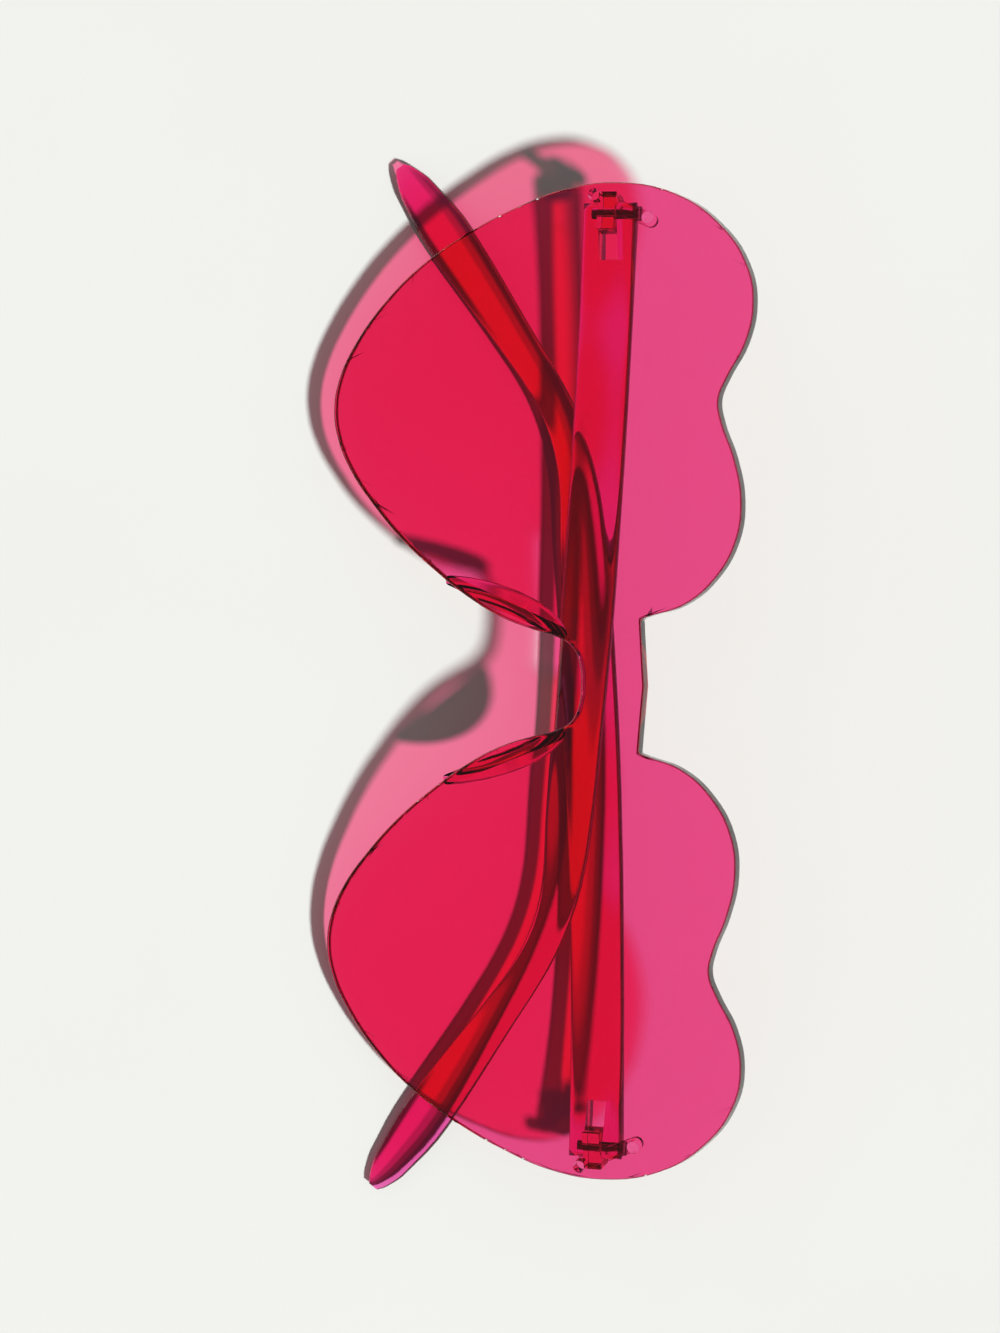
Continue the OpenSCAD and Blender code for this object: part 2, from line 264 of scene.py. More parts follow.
def lay(piece, matrix):
    """Puts the piece where the matrix says, with its place in its mesh."""
    pick(piece)
    piece.matrix_world = matrix @ piece.matrix_world
    bpy.ops.object.transform_apply(location=True, rotation=True, scale=True)
    tidy(piece)
    return piece


def apply_modifiers(piece):
    pick(piece)
    for modifier in list(piece.modifiers):
        bpy.ops.object.modifier_apply(modifier=modifier.name)


def put_in_order(piece):
    """Sorts the mesh along a slanted line, on which hardly two places fall together."""
    mesh = bmesh.new()
    mesh.from_mesh(piece.data)
    mesh.verts.sort(key=lambda vertex: vertex.co.dot(SORTING_WAY))
    mesh.edges.sort(key=lambda edge: sum(v.co.dot(SORTING_WAY) for v in edge.verts))
    mesh.faces.sort(key=lambda face: face.calc_center_median().dot(SORTING_WAY))
    mesh.to_mesh(piece.data)
    mesh.free()


def carve(piece, tool, operation):
    """A Boolean of the piece with a tool, which is used up."""
    modifier = piece.modifiers.new(operation.lower(), "BOOLEAN")
    modifier.operation = operation
    modifier.solver = "EXACT"
    modifier.object = tool
    apply_modifiers(piece)
    bpy.data.objects.remove(tool)
    put_in_order(piece)


def copied(piece, name):
    twin = piece.copy()
    twin.data = piece.data.copy()
    twin.name = twin.data.name = name
    bpy.context.scene.collection.objects.link(twin)
    return twin


def smooth(piece, degrees=32):
    """Smooth shading with sharp edges kept, and flat faces ruling the normals."""
    pick(piece)
    bpy.ops.object.shade_smooth_by_angle(angle=math.radians(degrees))
    weighted = piece.modifiers.new("weighted", "WEIGHTED_NORMAL")
    weighted.keep_sharp = True
    apply_modifiers(piece)


def note_edges(piece, amount_at):
    """Writes how near an edge each vertex is, as the attribute that the plastic reads."""
    layer = piece.data.attributes.new("edge", "FLOAT", "POINT")
    for vertex, cell in zip(piece.data.vertices, layer.data):
        cell.value = amount_at(vertex.co)


def size_of(piece):
    low = [min(v.co[i] for v in piece.data.vertices) for i in range(3)]
    high = [max(v.co[i] for v in piece.data.vertices) for i in range(3)]
    return in_mm((low, high))


print("finishing helpers ready")

# %% [markdown]
# ## Bars and boxes
#
# Pins, pegs and bores are all round bars, and slots are boxes. One helper
# adds a bar along Z, or along Y, the pin's direction, with enough sides to
# look turned. Tools that cut run well past the piece, because a Boolean with
# two faces in one plane can leave a skin there.

# %% A round bar and a box
OVERRUN = 6 * MM


def round_bar(name, radius, low, high, along="Z", place=(0, 0), sides=48):
    start()
    middle = (low + high) / 2
    if along == "Z":
        location, rotation = (place[0], place[1], middle), (0, 0, 0)
    else:
        location, rotation = (place[0], middle, place[1]), (math.radians(90), 0, 0)
    bpy.ops.mesh.primitive_cylinder_add(
        vertices=sides, radius=radius, depth=high - low, location=location, rotation=rotation
    )
    return made(name)


def box_between(name, low, high):
    start()
    bpy.ops.mesh.primitive_cube_add(
        size=1,
        location=[(a + b) / 2 for a, b in zip(low, high)],
        scale=[b - a for a, b in zip(low, high)],
    )
    return made(name)


print("bars and boxes ready")

# %% [markdown]
# ## The front's outline
#
# The front is sawn from a curved sheet. Its edge is a smooth line, apart from
# the top of the bridge: two straight lines with a slight peak between them,
# which meet the hearts at corners. It could be traced with hundreds of
# points, but each wobble would show in the edge. A Bezier curve through a few
# points with automatic handles gives an even line, and vector handles keep
# the corners. The numbers are shares of half the width and of the heart's
# height; the other side mirrors them.

# %% Draw the outline
SIDE_SHARES = [
    (0.132, 0.070), (0.139, 0.094), (0.161, 0.171), (0.213, 0.242), (0.288, 0.289),
    (0.368, 0.298), (0.451, 0.276), (0.523, 0.241), (0.565, 0.231), (0.607, 0.247),
    (0.675, 0.285), (0.757, 0.298), (0.835, 0.273), (0.915, 0.200), (0.976, 0.088),
    (1.000, -0.053), (0.987, -0.182), (0.953, -0.288), (0.904, -0.398), (0.840, -0.505),
    (0.760, -0.595), (0.667, -0.665), (0.603, -0.694), (0.547, -0.702), (0.485, -0.689),
    (0.419, -0.652), (0.347, -0.588), (0.280, -0.515), (0.220, -0.432), (0.168, -0.348),
    (0.128, -0.262), (0.105, -0.182), (0.092, -0.127), (0.071, -0.089), (0.035, -0.072),
]
ARCH_SHARE = -0.069
BRIDGE_SHARE = 0.082
OUTLINE_STEPS = 5
PRISM_LOW = -15 * MM
PRISM_HIGH = 3 * MM
OUTLINE_DOUBLES = 0.01 * MM


def outline_prism(name, low, high):
    """A straight prism on the outline, from low to high."""
    right = [(x * FRONT_W / 2, y * HEART_H) for x, y in SIDE_SHARES]
    left = [(-x, y) for x, y in reversed(right)]
    points = right + [(0, ARCH_SHARE * HEART_H)] + left + [(0, BRIDGE_SHARE * HEART_H)]
    corners = (0, len(points) - 2, len(points) - 1)
    line = bpy.data.curves.new(name, "CURVE")
    line.dimensions, line.fill_mode = "2D", "BOTH"
    line.extrude, line.resolution_u = (high - low) / 2, OUTLINE_STEPS
    spline = line.splines.new("BEZIER")
    spline.bezier_points.add(len(points) - 1)
    spline.use_cyclic_u = True
    for i, (knot, (x, y)) in enumerate(zip(spline.bezier_points, points)):
        knot.co = (x, y, 0)
        knot.handle_left_type = knot.handle_right_type = "VECTOR" if i in corners else "AUTO"
    prism = bpy.data.objects.new(name, line)
    bpy.context.scene.collection.objects.link(prism)
    prism.location.z = (low + high) / 2
    pick(prism)
    bpy.ops.object.convert(target="MESH")
    prism = made(name)
    tidy(prism, OUTLINE_DOUBLES)
    return prism


prism = outline_prism("outline", PRISM_LOW, PRISM_HIGH)
print("outline points:", len(prism.data.vertices) // 2)

# %% [markdown]
# ## The curved sheet
#
# The sheet is a piece of a pipe with a 300 mm radius. A flat heart could be
# bent with a modifier, but that stretches its outline. Spin makes the curve
# as a lathe would: a thin upright rectangle is swung round the pipe's axis.
# It is first cut across into short pieces, and the steps are fine, because
# long flat facets would show in the reflections. The heart is then what the
# sheet and the prism share.

# %% Spin the sheet and cut the hearts
HALF_SWING = 16
SWING_STEPS = 128
SHEET_CUTS = 39
SHEET_LENGTH = 1.8 * HEART_H
SHEET_DOUBLES = 0.03 * MM
start()
bpy.ops.mesh.primitive_plane_add(size=1, rotation=(0, math.radians(90), 0))
bpy.context.object.scale = (FRONT_T, SHEET_LENGTH, 1)
bpy.context.object.location = (0, 0, -FRONT_T / 2)
shield = made("shield")
swing = moved(0, 0, -FRONT_R) @ turned(HALF_SWING, "Y") @ moved(0, 0, FRONT_R)
shield.data.transform(swing)
select_edges(shield, lambda a, b: abs(a.y - b.y) > FRONT_T)
bpy.ops.mesh.subdivide(number_cuts=SHEET_CUTS)
bpy.ops.mesh.select_all(action="SELECT")
bpy.ops.mesh.spin(
    steps=SWING_STEPS,
    angle=math.radians(2 * HALF_SWING),
    center=(0, 0, -FRONT_R),
    axis=(0, 1, 0),
)
leave_edit()
tidy(shield)
print("sheet, mm:", size_of(shield))
carve(shield, prism, "INTERSECT")
tidy(shield, SHEET_DOUBLES)
print("front, mm:", size_of(shield), "faces:", len(shield.data.polygons))

# %% [markdown]
# ## Peg holes
#
# Each hinge block is held by two pegs that go through the front, and their
# ends show as small rings on the hearts. The holes could be left out, as the
# pegs fill them, but in clear plastic the thin gap round a peg is what draws
# the ring. So four holes are drilled with round bars, a hair wider than the
# pegs.

# %% Drill the peg holes
PEG_R = 0.95 * MM
PEG_GAP = 0.02 * MM
OUTER_PEG = (1.9 * MM, -1.5 * MM)
INNER_PEG = (-1.8 * MM, 7.4 * MM)
DRILL_LENGTH = 9 * MM
peg_spots = []
for side in (Matrix.Identity(4), MIRROR):
    for peg in (OUTER_PEG, INNER_PEG):
        drill = round_bar("drill", PEG_R + PEG_GAP, 0, DRILL_LENGTH, place=peg)
        carve(shield, lay(drill, side @ LEFT_BLOCK), "DIFFERENCE")
        peg_spots.append((side @ LEFT_BLOCK @ Vector((*peg, PIN_DEPTH))).to_2d())
print("holes:", len(peg_spots))

# %% [markdown]
# ## Polished edges
#
# The sawn edge is polished, so it has a small round that catches the light
# all the way round the hearts. A Bevel modifier would round the rims of the
# peg holes too, and those are crisp, so the sharp edges are selected and the
# ones near a hole are dropped. The rounds and the sawn wall are then noted as
# edges: the rounds get a thin dark line of painted shade in the skin, and the
# shadow of both is dark too.

# %% Round the edges and lay the front
EDGE_ROUND = 0.32 * MM
CRISP_REACH = 1.5 * MM
FACE_DEPTH = 0.03 * MM
ROUND_DEPTH = 0.25 * MM


def near_peg(spot):
    return any((spot.to_2d() - peg).length < CRISP_REACH for peg in peg_spots)


select_sharp(shield)
leave_edit()
spots = [v.co.copy() for v in shield.data.vertices]
for edge in shield.data.edges:
    edge.select = edge.select and not near_peg(spots[edge.vertices[0]])
rim = sum(edge.select for edge in shield.data.edges)
bpy.ops.object.mode_set(mode="EDIT")
bpy.ops.mesh.bevel(offset=EDGE_ROUND, segments=3, affect="EDGES", clamp_overlap=False)
leave_edit()


def sheet_edge(spot):
    """0 on the two faces, 1 on the rounds and 0.5 on the sawn wall between them."""
    radius = math.hypot(spot.x, spot.z + FRONT_R)
    depth = min(FRONT_R - radius, radius - BACK_R)
    return 0 if depth < FACE_DEPTH else 1 if depth < ROUND_DEPTH else 0.5


note_edges(shield, sheet_edge)
smooth(shield)
lay(shield, LYING)
print("rim edges:", rim, "front laid, mm:", size_of(shield))

# %% [markdown]
# ## Nose pads
#
# Two clear fins are cemented to the back beside the nose arch. They could be
# extruded from a drawn outline, but each one is simply a slice of a flat disc
# standing on edge, so its free edge is a long arc. A cylinder with its rims
# bevelled to a half round is cut off by the back of the front with one
# bisect, and the other pad is its mirror image.

# %% Make both nose pads
PAD_LENGTH = 21.5 * MM
PAD_DEPTH = 5.4 * MM
PAD_T = 1.6 * MM
PAD_ROUND = 0.46 * PAD_T
PAD_R = (PAD_LENGTH**2 / 4 + PAD_DEPTH**2) / (2 * PAD_DEPTH)
PAD_X = 0.150 * FRONT_W / 2
PAD_Y = -0.263 * HEART_H
PAD_SPLAY = 22
PAD_LEAN = 20
PAD_GAP = 0.05 * MM
pad_foot = (
    moved(0, PAD_Y, -FRONT_R)
    @ turned(math.degrees(math.asin(PAD_X / BACK_R)), "Y")
    @ moved(0, 0, BACK_R)
)
pad_stand = turned(90 + PAD_SPLAY, "Z") @ turned(-PAD_LEAN, "X") @ moved(0, 0, PAD_R - PAD_DEPTH)
left_pad = round_bar("left_pad", PAD_R, -PAD_T / 2, PAD_T / 2, along="Y", sides=128)
round_sharp(left_pad, PAD_ROUND, 6)
lay(left_pad, pad_stand)
edit(left_pad)
bpy.ops.mesh.bisect(
    plane_co=(0, 0, -PAD_GAP), plane_no=(0, 0, 1), use_fill=True, clear_outer=True
)
leave_edit()
lay(left_pad, pad_foot)
right_pad = lay(copied(left_pad, "right_pad"), LYING @ MIRROR)
lay(left_pad, LYING)
smooth(left_pad)
smooth(right_pad)
print("left pad, mm:", size_of(left_pad))

# %% [markdown]
# ## Hinge blocks
#
# A knuckle stands on the back at each end, between the two tines of a
# temple's fork. It is moulded in one with a thin plate and two pegs that go
# through the front. The parts could simply overlap, but walls inside clear
# plastic show, so Boolean unions make one solid of them all. The plate is the
# hull round two discs, little wider than the pegs, and the free corners of
# the knuckle are round, so that the temple can swing past.

# %% Make the knuckle
TINE_R = 1.75 * MM
KNUCKLE_W = 5.8 * MM
KNUCKLE_T = 2.8 * MM
KNUCKLE_ROUND = 1.2 * MM
KNUCKLE_EASE = 0.15 * MM
PLATE_T = 0.6 * MM
PLATE_TOP = PIN_DEPTH - 0.04 * MM


def free_corner(a, b):
    """True for an edge along the pin on the side away from the front."""
    return abs(a.x - b.x) + abs(a.z - b.z) < DOUBLES and a.z < 0


block = box_between(
    "left_block",
    (-KNUCKLE_W / 2, -KNUCKLE_T / 2, -TINE_R),
    (KNUCKLE_W / 2, KNUCKLE_T / 2, PLATE_TOP - PLATE_T / 2),
)
select_edges(block, free_corner)
bpy.ops.mesh.bevel(offset=KNUCKLE_ROUND, segments=7, affect="EDGES")
leave_edit()
round_sharp(block, KNUCKLE_EASE, 2)
print("knuckle, mm:", size_of(block))

# %% Add the plate and the pegs, drill the bore and mirror the block
PLATE_RIM = 0.08 * MM
PEG_SUNK = 0.03 * MM
BORE_R = 0.75 * MM
disc_r = PEG_R + PLATE_RIM
plate = round_bar("plate", disc_r, PLATE_TOP - PLATE_T, PLATE_TOP, place=OUTER_PEG)
other_end = round_bar("other_end", disc_r, PLATE_TOP - PLATE_T, PLATE_TOP, place=INNER_PEG)
pick(plate)
other_end.select_set(True)
bpy.ops.object.join()
edit(plate)
bpy.ops.mesh.convex_hull()
leave_edit()
carve(block, plate, "UNION")
for peg in (OUTER_PEG, INNER_PEG):
    peg_end = PIN_DEPTH + FRONT_T - PEG_SUNK
    carve(block, round_bar("peg", PEG_R, PLATE_TOP - PLATE_T / 2, peg_end, place=peg), "UNION")
carve(block, round_bar("bore", BORE_R, -OVERRUN, OVERRUN, along="Y"), "DIFFERENCE")
tidy(block)
right_block = lay(copied(block, "right_block"), LYING @ MIRROR @ LEFT_BLOCK)
left_block = lay(block, LYING @ LEFT_BLOCK)
smooth(left_block)
smooth(right_block)
print("left block, mm:", size_of(left_block))

# %% [markdown]
# ## A temple, straight on the bench
#
# A temple is a long strip with a rounded section, tall and thin. It narrows
# before the ear bend, swells again in the tail and ends in a soft tip. Height
# lies along Z and thickness along Y here. Both are given as shares at a few
# places and smoothed over some millimetres between them, so no corner shows
# in the edges.

# %% Height and thickness along the strip
TEMPLE_H = 8.4 * MM
TEMPLE_T = 2.1 * MM
STRAIGHT = 98 * MM
EAR_R = 40 * MM
EAR_TURN = math.radians(29)
EAR_ARC = EAR_R * EAR_TURN
TAIL = 39 * MM
TEMPLE_LENGTH = STRAIGHT + EAR_ARC + TAIL
SLOT_DEPTH = 6.8 * MM
FORK_END = SLOT_DEPTH + TINE_R
HEIGHT_SHARES = [
    (0, 1), (0.39, 1.02), (0.58, 0.91), (0.635, 0.76), (0.68, 0.64), (0.725, 0.595),
    (0.78, 0.64), (0.845, 0.79), (0.91, 0.92), (0.96, 0.88), (0.993, 0.42), (1, 0.18),
]
THICKNESS_SHARES = [
    (0, 1.6), (0.09, 1), (0.58, 1), (0.73, 1.05), (0.91, 1.14), (0.97, 1), (1, 0.45)
]
HEIGHT_REACH = 7 * MM
THICKNESS_REACH = 5 * MM
TIP_REACH = 0.2 * MM
SAMPLES = 13


def looked_up(table, share):
    for (x0, y0), (x1, y1) in zip(table, table[1:]):
        if share <= x1:
            return y0 + (y1 - y0) * max(share - x0, 0) / (x1 - x0)
    return table[-1][1]


def smoothed(table, s, reach):
    """The table's value at length s, averaged over reach on both sides."""
    reach = min(reach, max(TEMPLE_LENGTH - s, TIP_REACH))
    near = [s + reach * (2 * k / (SAMPLES - 1) - 1) for k in range(SAMPLES)]
    return sum(looked_up(table, max(n, 0) / TEMPLE_LENGTH) for n in near) / SAMPLES


def height_at(s):
    return TEMPLE_H * (smoothed(HEIGHT_SHARES, s, HEIGHT_REACH) if s > FORK_END else 1)


def thickness_at(s):
    """Round at the pin, tapering along the fork, then from the table."""
    if s < 0:
        return 2 * math.sqrt(max(TINE_R**2 - s**2, 0))
    if s < FORK_END:
        end = TEMPLE_T * looked_up(THICKNESS_SHARES, FORK_END / TEMPLE_LENGTH)
        return 2 * TINE_R + (end - 2 * TINE_R) * s / FORK_END
    return TEMPLE_T * smoothed(THICKNESS_SHARES, s, THICKNESS_REACH)


print("temple length, mm:", round(TEMPLE_LENGTH / MM, 2))
print("height and thickness at the bend, mm:", end=" ")
print(round(height_at(STRAIGHT) / MM, 2), round(thickness_at(STRAIGHT) / MM, 2))

# %% [markdown]
# ## Extruding the strip
#
# A curve with a bevel profile gives such a strip quickly, but it can only
# swell and shrink alike in both directions. So the strip is extruded ring by
# ring along X, and each ring is resized to the height and thickness at its
# place. The vertices near its upper and lower edge are noted, first the band
# that throws a dark shadow and then the rim itself, which gets a dark line of
# painted shade in the skin.

# %% A strip of rings
BEFORE_PIN = 2 * MM
RING_CORNERS = 32
SQUARENESS = 0.55
END_ANGLES = (166, 153, 138, 120, 105)
FORK_STOPS = (0, 2, 4.5, 7)
BODY_RINGS = 56
TIP_START = 4 * MM
TIP_STOPS = (3, 2.1, 1.3, 0.7, 0.25, 0)
BAND_SHARE = 0.65
RIM_SHARE = 0.93


def squared(value):
    return math.copysign(abs(value) ** SQUARENESS, value)


def ring_lengths():
    """Where the rings lie along the strip, closer together at both ends."""
    rounding = [TINE_R * math.cos(math.radians(a)) for a in END_ANGLES]
    fork = [d * MM for d in FORK_STOPS] + [FORK_END]
    body_length = TEMPLE_LENGTH - TIP_START - FORK_END
    body = [FORK_END + body_length * k / BODY_RINGS for k in range(1, BODY_RINGS + 1)]
    tip = [TEMPLE_LENGTH - d * MM for d in TIP_STOPS]
    return rounding + fork + body + tip


def temple_edge(spot):
    """0 along the middle, 0.5 in the outer bands that throw a dark shadow, 1 at the rims."""
    share = abs(spot.z) / (height_at(spot.x - BEFORE_PIN) / 2)
    return 0 if share < BAND_SHARE else 0.5 if share < RIM_SHARE else 1


def strip(name):
    lengths = ring_lengths()
    start()
    bpy.ops.mesh.primitive_circle_add(
        vertices=RING_CORNERS, radius=1, fill_type="NGON", rotation=(0, math.radians(90), 0)
    )
    piece = made(name)
    tall, thick = height_at(lengths[0]), thickness_at(lengths[0])
    for v in piece.data.vertices:
        v.co = (lengths[0] + BEFORE_PIN, squared(v.co.y) * thick / 2, squared(v.co.z) * tall / 2)
    edit(piece)
    for before, s in zip(lengths, lengths[1:]):
        bpy.ops.mesh.extrude_region_move(TRANSFORM_OT_translate={"value": (s - before, 0, 0)})
        next_tall, next_thick = height_at(s), thickness_at(s)
        bpy.ops.transform.resize(
            value=(1, next_thick / thick, next_tall / tall), center_override=(s + BEFORE_PIN, 0, 0)
        )
        tall, thick = next_tall, next_thick
    leave_edit()
    tidy(piece)
    note_edges(piece, temple_edge)
    return piece


print("rings:", len(ring_lengths()))

# %% [markdown]
# ## Bending the strip
#
# On the real pair the strip is warmed and bent over a former: down round the
# ear, and inwards round the head. A Curve modifier does the same, and keeps
# the section true, which moving the rings by hand would not. The curve is the
# temple's centre line in the bench frame, worked out from the bend and the
# bows, and its tilt turns the tail's lower edge in. The two temples have
# slightly different bows, as they lie in the photograph.

# %% The centre line and the former
DROOP = math.radians(4)
TWIST = math.radians(16)
LEFT_SAG = 6.1 * MM
RIGHT_SAG = 4.2 * MM
LEFT_BOWS = (PIN_X**2 / (2 * LEFT_SAG), 227 * MM)
RIGHT_BOWS = (PIN_X**2 / (2 * RIGHT_SAG), 216 * MM)
FIRST_KNOT = 6 * MM
KNOT_STEP = 6.2 * MM
KNOTS = 24
PAST_TIP = 1 * MM


def centre_line(s, bows):
    """The place at length s, where bows holds the straight part's radius and the tail's."""
    turn = max(0, min((s - STRAIGHT) / EAR_R, EAR_TURN))
    tail = max(s - STRAIGHT - EAR_ARC, 0)
    along = min(s, STRAIGHT) + EAR_R * math.sin(turn) + tail * math.cos(turn)
    down = EAR_R * (1 - math.cos(turn)) + tail * math.sin(turn)
    reach = along * math.cos(DROOP) - down * math.sin(DROOP)
    rise = -along * math.sin(DROOP) - down * math.cos(DROOP)
    first = min(reach, STRAIGHT) / bows[0]
    last = first + max(reach - STRAIGHT, 0) / bows[1]
    x = bows[0] * math.sin(first) + bows[1] * (math.sin(last) - math.sin(first))
    z = bows[0] * (1 - math.cos(first)) + bows[1] * (math.cos(first) - math.cos(last))
    return Vector((x, -z, rise))


def former(bows):
    """The curve that the strip is bent along."""
    stops = [FIRST_KNOT + KNOT_STEP * k for k in range(KNOTS)]
    points = [Vector((-BEFORE_PIN, 0, 0)), Vector((0, 0, 0))]
    points += [centre_line(s, bows) for s in stops + [TEMPLE_LENGTH + PAST_TIP]]
    line = bpy.data.curves.new("former", "CURVE")
    line.dimensions, line.twist_mode, line.resolution_u = "3D", "Z_UP", 8
    spline = line.splines.new("BEZIER")
    spline.bezier_points.add(len(points) - 1)
    for knot, point, s in zip(spline.bezier_points, points, [0, 0] + stops + [TEMPLE_LENGTH]):
        knot.co = point
        knot.handle_left_type = knot.handle_right_type = "AUTO"
        knot.tilt = -TWIST * max(0, min((s - STRAIGHT + EAR_ARC) / (2 * EAR_ARC), 1))
    curve = bpy.data.objects.new("former", line)
    bpy.context.scene.collection.objects.link(curve)
    return curve


print("tail tip from the pin, mm:", in_mm([centre_line(TEMPLE_LENGTH, LEFT_BOWS)]))

# %% [markdown]
# ## The bent temples
#
# The hinge end is sawn open for the knuckle, which leaves the two tines of a
# fork, and drilled for the screw: a free bore in the upper tine and a tighter
# seat in the lower one, where the real screw has its thread. They could be
# cut in the straight strip, but made after the bend they stay straight and
# square to the pin.

# %% Make both temples
BENCH_TO_PIN = turned(-90, "X")
SIDE_GAP = 0.1 * MM
SLOT_W = KNUCKLE_T + 2 * SIDE_GAP
SEAT_R = 0.72 * MM
THREAD = 1.2 * MM


def temple(name, bows):
    """A bent temple in the pin's frame, with its slot and bores."""
    piece = strip(name)
    curve = former(bows)
    bend = piece.modifiers.new("bend", "CURVE")
    bend.object = curve
    bend.deform_axis = "POS_X"
    apply_modifiers(piece)
    bpy.data.objects.remove(curve)
    lay(piece, BENCH_TO_PIN)
    slot_low = (-OVERRUN, -SLOT_W / 2, -OVERRUN)
    slot_high = (SLOT_DEPTH, SLOT_W / 2, OVERRUN)
    carve(piece, box_between("slot", slot_low, slot_high), "DIFFERENCE")
    carve(piece, round_bar("bore", BORE_R, 0, OVERRUN, along="Y"), "DIFFERENCE")
    seat = round_bar("seat", SEAT_R, -SLOT_W / 2 - THREAD, 0, along="Y")
    carve(piece, seat, "DIFFERENCE")
    return piece


right_temple = lay(temple("right_arm_strip", RIGHT_BOWS), RIGHT_HINGE)
left_temple = lay(temple("left_arm_strip", LEFT_BOWS), LEFT_HINGE)
for piece, node in ((right_temple, "right_temple"), (left_temple, "left_temple")):
    smooth(piece, 40)

# %% [markdown]
# ## Hinge screws
#
# Each temple turns on a small slotted screw that goes down the pin, with its
# head on the upper tine. It could be turned as one profile, but a shank and a
# head joined by a Boolean are as quick and need no drawing. The rim is eased
# by a tiny bevel, and the slot is cut with a box.

# %% Make both screws
SHANK_R = 0.7 * MM
SHANK_IN_HEAD = 0.2 * MM
HEAD_R = 1.15 * MM
HEAD_H = 0.65 * MM
HEAD_EASE = 0.12 * MM
DRIVE_W = 0.4 * MM
DRIVE_DEPTH = 0.3 * MM


def screw(name):
    top = TEMPLE_H / 2
    foot = -SLOT_W / 2 - THREAD
    piece = round_bar(name, SHANK_R, foot, top + SHANK_IN_HEAD, along="Y", sides=40)
    head = round_bar("head", HEAD_R, top, top + HEAD_H, along="Y", sides=40)
    round_sharp(head, HEAD_EASE, 3)
    carve(piece, head, "UNION")
    drive_low = (-OVERRUN, top + HEAD_H - DRIVE_DEPTH, -DRIVE_W / 2)
    drive_high = (OVERRUN, top + OVERRUN, DRIVE_W / 2)
    carve(piece, box_between("drive", drive_low, drive_high), "DIFFERENCE")
    return piece


right_screw = lay(screw("right_screw"), RIGHT_HINGE)
left_screw = lay(screw("left_screw"), LEFT_HINGE)
smooth(right_screw)
smooth(left_screw)
print("left screw, mm:", size_of(left_screw))

# %% [markdown]
# ## Shader maths as plain expressions
#
# A material is a small program. Its nodes could be placed and wired by hand,
# but a class that wraps a socket, with operators that add Math nodes, lets
# the program be written as sums.

# %% A value in a material
class Value:
    def __init__(self, finish, socket):
        self.finish, self.socket = finish, socket

    def math(self, operation, a, b=0.0):
        return self.finish.node("ShaderNodeMath", {"operation": operation}, [a, b])

    def __add__(self, other):
        return self.math("ADD", self, other)

    def __sub__(self, other):
        return self.math("SUBTRACT", self, other)

    def __rsub__(self, other):
        return self.math("SUBTRACT", other, self)

    def __mul__(self, other):
        return self.math("MULTIPLY", self, other)

    def __pow__(self, other):
        return self.math("POWER", self, other)

    __radd__, __rmul__ = __add__, __mul__

    def or_more(self, other):
        return self.math("MAXIMUM", self, other)

    def clamped(self):
        return self.math("MINIMUM", self.or_more(0.0), 1.0)


print("values can be added, taken away, multiplied and raised")

# %% [markdown]
# ## Every other node
#
# One method adds any node from its type, its settings and the values or links
# of its sockets. Settings are set first, because some of them change which
# sockets a node has. Noise reads Object coordinates, so a pattern stays on
# its piece from every side.

# %% A material's nodes
MIX_FACTOR, MIX_A, MIX_B, MIX_RESULT = 0, 6, 7, 2


class Finish:
    def __init__(self, name):
        self.material = bpy.data.materials.new(name)
        self.material.use_nodes = True
        self.tree = self.material.node_tree
        self.tree.nodes.clear()
        self.out = self.tree.nodes.new("ShaderNodeOutputMaterial")

    def node(self, kind, settings=None, values=(), output=0):
        """Adds a node: settings first, then a value or a link for each socket."""
        node = self.tree.nodes.new(kind)
        for key, value in (settings or {}).items():
            if key == "stops":
                for stop, (place, colour) in zip(node.color_ramp.elements, value):
                    stop.position, stop.color = place, colour
            else:
                setattr(node, key, value)
        pairs = values.items() if isinstance(values, dict) else enumerate(values)
        for key, value in pairs:
            if isinstance(value, Value):
                self.tree.links.new(value.socket, node.inputs[key])
            else:
                node.inputs[key].default_value = value
        return Value(self, node.outputs[output])

    def noise(self, scale, detail):
        place = self.node("ShaderNodeTexCoord", output="Object")
        values = {"Vector": place, "Scale": scale, "Detail": detail}
        return self.node("ShaderNodeTexNoise", {}, values, "Fac")

    def mixed_colour(self, factor, a, b):
        values = {MIX_FACTOR: factor, MIX_A: a, MIX_B: b}
        return self.node("ShaderNodeMix", {"data_type": "RGBA"}, values, MIX_RESULT)

    def mixed_surface(self, factor, a, b):
        return self.node("ShaderNodeMixShader", {}, [factor, a, b])

    def show(self, surface, volume=None):
        self.tree.links.new(surface.socket, self.out.inputs["Surface"])
        if volume:
            self.tree.links.new(volume.socket, self.out.inputs["Volume"])
        return self.material


print("shader helpers ready")

# %% [markdown]
# ## Clear pink plastic: the dye and painted rim shade
#
# One layer of the front is rose, two are hot pink and three are almost red.
# Glass with only a base colour would dye every wall alike, and glass with
# only Volume Absorption would make a temple seen down its height nearly
# black. So a share of the dye sits in the skin, as the base colour, and a
# share in the depth, both worked out from what one layer lets through. The
# temples and pads have a dye of their own, as the photograph shows them in a
# slightly different pink. The skin is a little uneven, and along the rims a
# dark line of painted shade is mixed into it.

# %% Skin, painted rim shade and depth
FRONT_DYE = (0.965, 0.085, 0.30)
TEMPLE_DYE = (0.985, 0.075, 0.42)
# Painted shade: the dark line mixed into the skin along the rims.
PAINTED_RIM_SHADE = (0.18, 0.0, 0.02, 1)
PALER = 0.97
UNEVENNESS = 260.0
DENSITY_ROOM = 1.02


def skin_colour_and_rim_shade(finish, dye, skin_share, edge):
    """The skin's share of the dye, a little uneven, with painted shade where edge is over 0.5."""
    skin = [c**skin_share for c in dye]
    thinner = (*[PALER * c for c in skin], 1)
    even = finish.mixed_colour(finish.noise(UNEVENNESS, 3.0), thinner, (*skin, 1))
    # Painted shade: the skin turns dark along the rims, where edge is over 0.5.
    return finish.mixed_colour((edge * 2 - 1).clamped(), even, PAINTED_RIM_SHADE)


